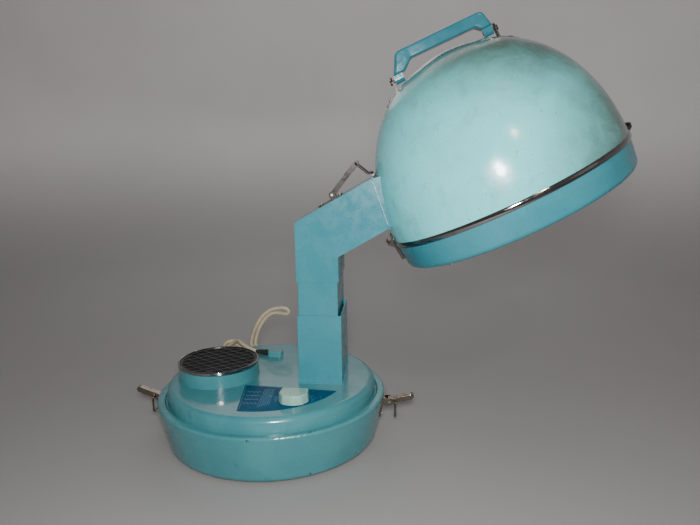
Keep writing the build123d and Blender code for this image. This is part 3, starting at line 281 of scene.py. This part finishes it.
MATERIALS = {
    "base_plastic": moulded(
        "base_plastic", (0.050, 0.225, 0.255), (0.070, 0.275, 0.305), (0.028, 0.100, 0.105),
        gloss=0.20, chips=(0.03, 0.05, 0.05),
    ),
    "arm_plastic": moulded(
        "arm_plastic", (0.038, 0.242, 0.305), (0.048, 0.270, 0.332), (0.028, 0.125, 0.150),
        gloss=0.26, patch=12.0, patina=0.35, coat=0.1, swirl=0.2,
    ),
    "dome_plastic": dome_enamel("dome_plastic"),
    "handle_plastic": moulded(
        "handle_plastic", (0.026, 0.190, 0.250), (0.048, 0.235, 0.290), (0.02, 0.09, 0.11),
        gloss=0.12, patch=22.0,
    ),
    "knob_plastic": moulded(
        "knob_plastic", (0.25, 0.46, 0.39), (0.30, 0.52, 0.44), (0.32, 0.36, 0.28), gloss=0.26,
        patch=40.0, patina=0.4,
    ),
    "dial_enamel": blue_enamel("dial_enamel"),
    "chrome_trim": plated("chrome_trim", (0.38, 0.37, 0.37), (0.15, 0.11, 0.08), 0.06),
    "wire_steel": plated("wire_steel", (0.26, 0.22, 0.18), (0.08, 0.05, 0.035), 0.16, 0.85, 90.0),
    "grille_black": dull_plastic(
        "grille_black", (0.010, 0.009, 0.011), (0.05, 0.045, 0.05), 0.42, 700.0, 0.15, 0.35
    ),
    "black_plastic": dull_plastic("black_plastic", (0.02, 0.02, 0.02), (0.12, 0.12, 0.12), 0.45),
    "liner_plastic": dull_plastic(
        "liner_plastic", (0.22, 0.37, 0.37), (0.40, 0.48, 0.46), 0.42, 260.0, 0.2, 0.4
    ),
    "duct_metal": brushed("duct_metal", (0.62, 0.63, 0.64), 0.36, (1.0, 24.0, 1.0)),
    "motor_steel": dull_plastic(
        "motor_steel", (0.12, 0.13, 0.14), (0.26, 0.25, 0.23), 0.45, 300.0, 0.3, 0.3
    ),
    "wheel_metal": brushed("wheel_metal", (0.58, 0.59, 0.60), 0.38, (20.0, 20.0, 1.0)),
    "mica": dull_plastic("mica", (0.48, 0.42, 0.32), (0.62, 0.58, 0.48), 0.5, 220.0, 0.3, 0.5),
    "steel": brushed("steel", (0.50, 0.50, 0.51), 0.30),
    "rubber_black": dull_plastic(
        "rubber_black", (0.012, 0.011, 0.011), (0.07, 0.065, 0.06), 0.75, 420.0, 0.35, 0.35
    ),
    "cord_beige": vinyl("cord_beige", (0.58, 0.50, 0.34), (0.26, 0.19, 0.10)),
    "plug_brown": dull_plastic("plug_brown", (0.10, 0.055, 0.030), (0.26, 0.20, 0.15), 0.36),
    "brass_plain": brushed("brass_plain", (0.66, 0.48, 0.20), 0.26, (30.0, 1.0, 1.0)),
}

INK_BLUE = vinyl("dial_ink", (0.06, 0.24, 0.36), (0.02, 0.10, 0.20))
SLOT_OF = {row["node"]: row["material_slot"] for row in frame["record"]["subparts"]}
for node_name, node in NODES.items():
    node.data.materials.clear()
    node.data.materials.append(MATERIALS[SLOT_OF[node_name]])
# the clasp, the strikes and the handle's brackets are given a nearly black, dull plated finish that
# reflects little light
DARKENED_PLATE = plated(
    "darkened_plate", (0.050, 0.045, 0.040), (0.018, 0.012, 0.010), 0.34, 0.8, 120.0,
    metallic=0.55, shine=0.25,
)
DARK_METAL = (
    "handle_brackets", "handle_pins", "bracket_rivets", "clasp_plate", "clasp_lever", "clasp_bail",
    "front_strike", "rear_strike",
)
for node_name in DARK_METAL:
    NODES[node_name].data.materials[0] = DARKENED_PLATE
# the duct's socket is moulded in the arm's colour
NODES["hood_port"].data.materials[0] = MATERIALS["arm_plastic"]


# ------------------------------------------------------------- making of pieces
def piece(name, mesh, slot, body, smooth=True):
    """A mesh object with its slot's finish, riding on a body."""
    made = bpy.data.objects.new(name, mesh)
    bpy.context.scene.collection.objects.link(made)
    mesh.materials.append(MATERIALS[slot])
    if smooth:
        for face in mesh.polygons:
            face.use_smooth = True
    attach(made, body)
    return made


def ring_sweep(name, centres, outline, slot, body):
    """A tube whose sections are outline scaled by each centre's radius: (point, way, radius)."""
    bm = bmesh.new()
    rows = []
    for point, way, radius in centres:
        turn = way.normalized().to_track_quat("Z", "Y").to_matrix()
        rows.append([bm.verts.new(point + turn @ (Vector((x, y, 0)) * radius)) for x, y in outline])
    count = len(outline)
    for low, high in zip(rows, rows[1:]):
        for at in range(count):
            after = (at + 1) % count
            bm.faces.new((low[at], low[after], high[after], high[at]))
    bm.faces.new(list(reversed(rows[0])))
    bm.faces.new(rows[-1])
    bmesh.ops.recalc_face_normals(bm, faces=bm.faces)
    mesh = bpy.data.meshes.new(name)
    bm.to_mesh(mesh)
    bm.free()
    return piece(name, mesh, slot, body)


def circle_outline(count):
    return [
        (math.cos(2 * math.pi * at / count), math.sin(2 * math.pi * at / count))
        for at in range(count)
    ]


# -------------------------------------------------------------------- the camera
CAMERA_AT = Vector((0.1852, -0.8683, 0.4313))
YAW, PITCH, ROLL = 0.078, 0.193, -0.014
forward = Vector((
    -math.sin(YAW) * math.cos(PITCH), math.cos(YAW) * math.cos(PITCH), -math.sin(PITCH)
))
level = Vector((math.cos(YAW), math.sin(YAW), 0.0))
upward = level.cross(forward)
right = level * math.cos(ROLL) + upward * math.sin(ROLL)
above = upward * math.cos(ROLL) - level * math.sin(ROLL)
camera = bpy.data.objects.new("camera", bpy.data.cameras.new("camera"))
camera.data.lens = 32.26
camera.data.sensor_width = 36.0
camera.data.clip_start = 0.01
rotation = Matrix((right, above, -forward)).transposed()
camera.matrix_world = Matrix.Translation(CAMERA_AT) @ rotation.to_4x4()
bpy.context.scene.collection.objects.link(camera)
bpy.context.scene.camera = camera

# ----------------------------------------------------------------------- the cord
CORD_D = 6.0
EXIT = (-23.0, 88.0, 95.4)
CORD_START = [
    EXIT, (-45, 92, 95.4), (-58, 98.5, 97.9), (-70, 108.5, 100.9), (-79.5, 121.5, 101.9),
    (-87.5, 136, 99.0),
]
LOOP = [
    (-72, 160.5, 78), (-66.5, 158.5, 100), (-58.5, 156, 120), (-46.5, 155, 138), (-32, 154, 149),
    (-16, 153, 152.5), (-5, 152.5, 152), (1, 152.6, 146.8), (-3, 153.4, 141), (-13, 155, 141.5),
    (-27, 158, 143), (-41, 160, 134.5), (-53, 161, 118), (-60.5, 161, 98), (-63.5, 159.5, 78),
]
TAIL = [
    (-14, 177, 26), (-1, 182.5, 13.5), (13, 187.5, 5.5), (29, 189, 4.6), (44, 189, 6.5),
]

# the hank stands on the table and leans on the base: its plane has x along the
# base and y up the lean
HANK_Y = 187.5
HANK_LEAN = math.radians(20)
HANK_LOW = Vector((-36.0, 24.5))
HANK_HIGH = Vector((-100.0, 84.5))
HANK_INNER = 11.2
HANK_STEP = 6.1
TURN_POINTS = 20
LOOSENESS = 0.5
hank_run = HANK_HIGH - HANK_LOW
side_angle = math.atan2(hank_run.y, hank_run.x) - math.pi / 2


def hank_point(turns, radius, off):
    """A point turns round the hank from its top, anticlockwise, off its middle plane."""
    straight = hank_run.length
    arc = math.pi * radius
    lead = radius * (math.pi / 2 - side_angle)
    at = (turns * (2 * straight + 2 * arc) + lead) % (2 * straight + 2 * arc)
    if at < arc:
        angle = side_angle + at / radius
        spot = HANK_HIGH + Vector((math.cos(angle), math.sin(angle))) * radius
    elif at < arc + straight:
        angle = side_angle + math.pi
        spot = HANK_HIGH + Vector((math.cos(angle), math.sin(angle))) * radius
        spot -= hank_run.normalized() * (at - arc)
    elif at < 2 * arc + straight:
        angle = side_angle + math.pi + (at - arc - straight) / radius
        spot = HANK_LOW + Vector((math.cos(angle), math.sin(angle))) * radius
    else:
        spot = HANK_LOW + Vector((math.cos(side_angle), math.sin(side_angle))) * radius
        spot += hank_run.normalized() * (at - 2 * arc - straight)
    return (
        spot.x,
        HANK_Y - math.sin(HANK_LEAN) * spot.y - math.cos(HANK_LEAN) * off,
        math.cos(HANK_LEAN) * spot.y - math.sin(HANK_LEAN) * off,
    )


def wound(start, end, radii, offs):
    """Points round the hank from one count of turns to another."""
    steps = round(abs(end - start) * TURN_POINTS)
    made = []
    for step in range(steps + 1):
        share = step / steps
        turns = start + (end - start) * share
        loose = LOOSENESS * math.sin(5.3 * turns + 1.0)
        radius = radii[0] + (radii[1] - radii[0]) * min(1.0, share) + loose
        made.append(hank_point(turns, radius, offs[0] + (offs[1] - offs[0]) * share))
    return made


OUTER = HANK_INNER + HANK_STEP
route = list(CORD_START)
route += wound(0.02, 2.0, (HANK_INNER, HANK_INNER), (6.2, -5.6))
route += wound(2.06, 2.66, (HANK_INNER + 1, OUTER), (-6.0, -6.6))
route += LOOP
route += wound(0.66, -0.33, (OUTER, OUTER), (-0.4, 5.8))
route += TAIL

curve = bpy.data.curves.new("power_lead", "CURVE")
curve.dimensions = "3D"
curve.resolution_u = 6
curve.bevel_resolution = 5
curve.bevel_depth = CORD_D / 2 * MM
curve.use_fill_caps = True
spline = curve.splines.new("NURBS")
spline.points.add(len(route) - 1)
for point, spot in zip(spline.points, route):
    point.co = (*mm(*spot), 1.0)
spline.order_u = 3
spline.use_endpoint_u = True
power_lead = bpy.data.objects.new("power_lead", curve)
bpy.context.scene.collection.objects.link(power_lead)
curve.materials.append(MATERIALS["cord_beige"])
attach(power_lead, "base")
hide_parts("power_cord", "cord_hank", "cord_loop", "cord_tail")

# a twist of wire holds the hank together
middle = (HANK_LOW + HANK_HIGH) / 2


def hank_spot(across, off, slide=0.0):
    """A point of the hank's middle section: across its run, and off its plane."""
    way = Vector((math.cos(side_angle), math.sin(side_angle)))
    spot = middle + way * across + hank_run.normalized() * slide
    return mm(
        spot.x,
        HANK_Y - math.sin(HANK_LEAN) * spot.y - math.cos(HANK_LEAN) * off,
        math.cos(HANK_LEAN) * spot.y - math.sin(HANK_LEAN) * off,
    )


tie_curve = bpy.data.curves.new("hank_tie", "CURVE")
tie_curve.dimensions = "3D"
TIE_R = 1.1
tie_curve.bevel_depth = TIE_R * MM
tie_curve.bevel_resolution = 4
tie_curve.resolution_u = 8
tie_line = tie_curve.splines.new("NURBS")
TIE = [
    (24, 1, 3), (22.5, 7, 1), (19, 10.6, 0), (0, 11.6, 0), (-19, 10.6, 0), (-22.8, 6, 0),
    (-22.8, -6, 0), (-19, -10.6, 0), (0, -11.4, 0), (19, -10.6, 0), (22.8, -6, -1), (24.5, 0, -3),
    (27, 3, -5),
]
tie_line.points.add(len(TIE) - 1)
for point, (across, off, slide) in zip(tie_line.points, TIE):
    point.co = (*hank_spot(across, off, slide), 1.0)
tie_line.order_u = 3
tie_line.use_endpoint_u = True
hank_tie = bpy.data.objects.new("hank_tie", tie_curve)
bpy.context.scene.collection.objects.link(hank_tie)
tie_curve.materials.append(MATERIALS["rubber_black"])
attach(hank_tie, "base")

# ------------------------------------------------------- strain relief's grip ribs
relief_way = (mm(*CORD_START[1]) - mm(*EXIT)).normalized()
RIB_COUNT = 6
RIB_FIRST = 0.0040
RIB_PITCH = 0.0027
RIB_R = 0.0046
RIB_TAPER = 0.00020
RIB_SHAPE = ((-0.0009, 0.80), (-0.0005, 1.0), (0.0005, 1.0), (0.0009, 0.80))
rib_rings = []
for at in range(RIB_COUNT):
    # a rib is a short barrel that stands a little proud of the tapered sleeve
    along = RIB_FIRST + RIB_PITCH * at
    proud = RIB_R - RIB_TAPER * at
    for step, swell in RIB_SHAPE:
        rib_rings.append((mm(*EXIT) + relief_way * (along + step), relief_way, proud * swell))
ring_sweep("relief_ribs", rib_rings, circle_outline(28), "rubber_black", "base")

# ------------------------------------------------------------ the dial's printing
DIAL_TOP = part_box("dial_plate")[1].z
INK = 0.00012
KNOB_AT = Vector((0.047, -0.092))
PLATE = [(-0.0217, -0.1265), (-0.0310, -0.0411), (0.0998, -0.0573)]


def ribbon(name, runs, slot="knob_plastic"):
    """Flat printed lines on the dial plate: each run is a row of points and a half width."""
    bm = bmesh.new()
    for points, half in runs:
        sides = []
        for at, point in enumerate(points):
            before = Vector(points[max(0, at - 1)])
            after = Vector(points[min(len(points) - 1, at + 1)])
            way = (after - before).normalized()
            across = Vector((-way.y, way.x)) * half
            for sign in (-1, 1):
                spot = Vector(point) + across * sign
                sides.append(bm.verts.new((spot.x, spot.y, DIAL_TOP + INK)))
        for at in range(len(points) - 1):
            row = 2 * at
            bm.faces.new((sides[row], sides[row + 1], sides[row + 3], sides[row + 2]))
    bmesh.ops.recalc_face_normals(bm, faces=bm.faces)
    if bm.faces[:] and bm.faces[:][0].normal.z < 0:
        bmesh.ops.reverse_faces(bm, faces=bm.faces)
    mesh = bpy.data.meshes.new(name)
    bm.to_mesh(mesh)
    bm.free()
    return piece(name, mesh, slot, "base", smooth=False)


def turned(angle, radius):
    spot = KNOB_AT + Vector((math.cos(angle), math.sin(angle))) * radius
    return (spot.x, spot.y)


ARC_STEPS = 40
TICKS = 9
TICK_FROM, TICK_SPAN = 20, 140
TICK_R = 0.0285
LONG_TICK, SHORT_TICK = 0.0040, 0.0022
runs = []
for radius, half, first, last in ((0.0245, 0.00045, -10, 190), (0.0275, 0.0002, 0, 180)):
    angles = [
        math.radians(first + (last - first) * at / ARC_STEPS) for at in range(ARC_STEPS + 1)
    ]
    runs.append(([turned(angle, radius) for angle in angles], half))
for tick in range(TICKS):
    angle = math.radians(TICK_FROM + TICK_SPAN * tick / (TICKS - 1))
    long = LONG_TICK if tick % 2 == 0 else SHORT_TICK
    runs.append(([turned(angle, TICK_R), turned(angle, TICK_R + long)], 0.0004))
# fine parallel lines beside the knob, wavy lines by the intake, and a thin border
for line in range(7):
    x = 0.0025 + 0.0022 * line
    runs.append(([(x, -0.116 + 0.0012 * line), (x - 0.0020, -0.056 + 0.0004 * line)], 0.00028))
for line in range(4):
    y = -0.066 - 0.0125 * line
    shift = 0.0011 * line
    wave = [
        (-0.0225 + shift + 0.0008 * at, y + 0.0016 * math.sin(0.9 * at + line)) for at in range(25)
    ]
    runs.append((wave, 0.00055))
INSET = 0.0022
runs.append((
    [(PLATE[0][0] + INSET, PLATE[0][1] + 0.003), (PLATE[1][0] + INSET, PLATE[1][1] - INSET)], 0.00025
))
runs.append((
    [(PLATE[1][0] + INSET, PLATE[1][1] - INSET), (PLATE[2][0] - 0.006, PLATE[2][1] - INSET)], 0.00025
))
dial_marks = ribbon("dial_marks", runs)
dial_marks.data.materials[0] = INK_BLUE

DIGIT_SIZE = 0.0062
DIGIT_R = 0.0365
for digit, angle in (("0", 20), ("1", 55), ("2", 90), ("3", 125), ("4", 160)):
    text = bpy.data.curves.new(f"dial_digit_{digit}", "FONT")
    text.body = digit
    text.size = DIGIT_SIZE
    text.align_x = "CENTER"
    text.align_y = "CENTER"
    text.extrude = 0.00004
    spot = turned(math.radians(angle), DIGIT_R)
    letter = bpy.data.objects.new(f"dial_digit_{digit}", text)
    letter.location = (spot[0], spot[1], DIAL_TOP + INK)
    bpy.context.scene.collection.objects.link(letter)
    text.materials.append(INK_BLUE)
    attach(letter, "base")

# ----------------------------------------------------- a dark foam disc in the intake, painted shade under the grille
INTAKE_AT = Vector((-0.080, 0.0))
SHADE_DISC_Z = 0.1116
SHADE_DISC_R = 0.0534
SHADE_DISC_T = 0.0030
SHADE_DISC_WAVE = 0.0004
bm = bmesh.new()
RINGS, SPOKES = 18, 72
shade_disc_rows = []
for ring in range(1, RINGS + 1):
    row = []
    for spoke in range(SPOKES):
        angle = 2 * math.pi * spoke / SPOKES
        radius = SHADE_DISC_R * ring / RINGS
        lift = SHADE_DISC_WAVE * math.sin(9 * angle + ring) * math.cos(1.7 * ring)
        row.append(bm.verts.new((
            INTAKE_AT.x + radius * math.cos(angle), radius * math.sin(angle), SHADE_DISC_Z + lift
        )))
    shade_disc_rows.append(row)
centre = bm.verts.new((INTAKE_AT.x, 0.0, SHADE_DISC_Z))
low_row = [bm.verts.new((v.co.x, v.co.y, SHADE_DISC_Z - SHADE_DISC_T)) for v in shade_disc_rows[-1]]
low_centre = bm.verts.new((INTAKE_AT.x, 0.0, SHADE_DISC_Z - SHADE_DISC_T))
for at in range(SPOKES):
    after = (at + 1) % SPOKES
    bm.faces.new((centre, shade_disc_rows[0][at], shade_disc_rows[0][after]))
    for inner, outer in zip(shade_disc_rows, shade_disc_rows[1:]):
        bm.faces.new((inner[at], outer[at], outer[after], inner[after]))
    bm.faces.new((shade_disc_rows[-1][at], low_row[at], low_row[after], shade_disc_rows[-1][after]))
    bm.faces.new((low_centre, low_row[after], low_row[at]))
shade_disc_mesh = bpy.data.meshes.new("intake_shade_disc")
bm.to_mesh(shade_disc_mesh)
bm.free()
# the near-black disc stands in for the shade seen through the grille's holes
piece("intake_shade_disc", shade_disc_mesh, "rubber_black", "base")

# ------------------------------------------------------------------ the stage
FLOOR_R = 2.4
COVE_R = 0.9
COVE_STEPS = 12
STAGE_TOP = 3.4
stage_outline = [(0.0, 0.0), (FLOOR_R - COVE_R, 0.0)]
for at in range(1, COVE_STEPS + 1):
    angle = math.pi / 2 * at / COVE_STEPS
    stage_outline.append(
        (FLOOR_R - COVE_R + COVE_R * math.sin(angle), COVE_R - COVE_R * math.cos(angle))
    )
stage_outline.append((FLOOR_R, STAGE_TOP))
bm = bmesh.new()
STAGE_SIDES = 96
rows = []
for radius, height in stage_outline[1:]:
    rows.append([
        bm.verts.new((radius * x, radius * y, height)) for x, y in circle_outline(STAGE_SIDES)
    ])
bm.faces.new(rows[0])
for low, high in zip(rows, rows[1:]):
    for at in range(STAGE_SIDES):
        after = (at + 1) % STAGE_SIDES
        bm.faces.new((low[at], high[at], high[after], low[after]))
stage_mesh = bpy.data.meshes.new("stage")
bm.to_mesh(stage_mesh)
bm.free()
for face in stage_mesh.polygons:
    face.use_smooth = True
stage = bpy.data.objects.new("stage", stage_mesh)
bpy.context.scene.collection.objects.link(stage)
g = Graph("stage_paper")
paper = g.mix(g.band(g.part_of_place(2), 0.0, 0.5), (0.34, 0.335, 0.33), (0.74, 0.71, 0.72))
paper = g.mix(g.band(g.noise(2.0, 4.0), 0.3, 0.7, 0.0, 0.10), paper, (0.30, 0.29, 0.29))
stage_mesh.materials.append(g.finish(paper, g.band(g.noise(3.0), 0.3, 0.7, 0.8, 0.9)))


def area_light(name, at, aim, size, watts, colour=(1.0, 1.0, 1.0)):
    data = bpy.data.lights.new(name, "AREA")
    data.shape = "DISK"
    data.size = size
    data.energy = watts
    data.color = colour
    lamp = bpy.data.objects.new(name, data)
    lamp.location = at
    lamp.rotation_euler = (Vector(aim) - Vector(at)).to_track_quat("-Z", "Y").to_euler()
    bpy.context.scene.collection.objects.link(lamp)


area_light("key", (0.19, -0.90, 0.50), (0.16, 0.0, 0.26), 0.11, 9.5)
area_light("overhead", (0.5, -0.9, 2.0), (0.1, 0.0, 0.2), 1.0, 1.1)
area_light("side", (1.7, -0.9, 0.9), (0.1, 0.0, 0.2), 0.9, 0.35)
area_light("backdrop", (0.1, 0.75, 1.7), (0.1, 2.3, 0.9), 0.9, 9.0)
area_light("behind", (-0.2, 1.6, 1.5), (0.1, 0.0, 0.2), 1.6, 5.0)
# a small warm lamp over the camera gives the second, softer highlight
area_light("lamp", (0.47, -1.27, 1.20), (0.33, 0.0, 0.45), 0.13, 2.4, (1.0, 0.80, 0.52))

world = bpy.data.worlds.new("room")
bpy.context.scene.world = world
world.use_nodes = True
world.node_tree.nodes["Background"].inputs["Color"].default_value = (0.80, 0.78, 0.80, 1.0)
world.node_tree.nodes["Background"].inputs["Strength"].default_value = 0.095
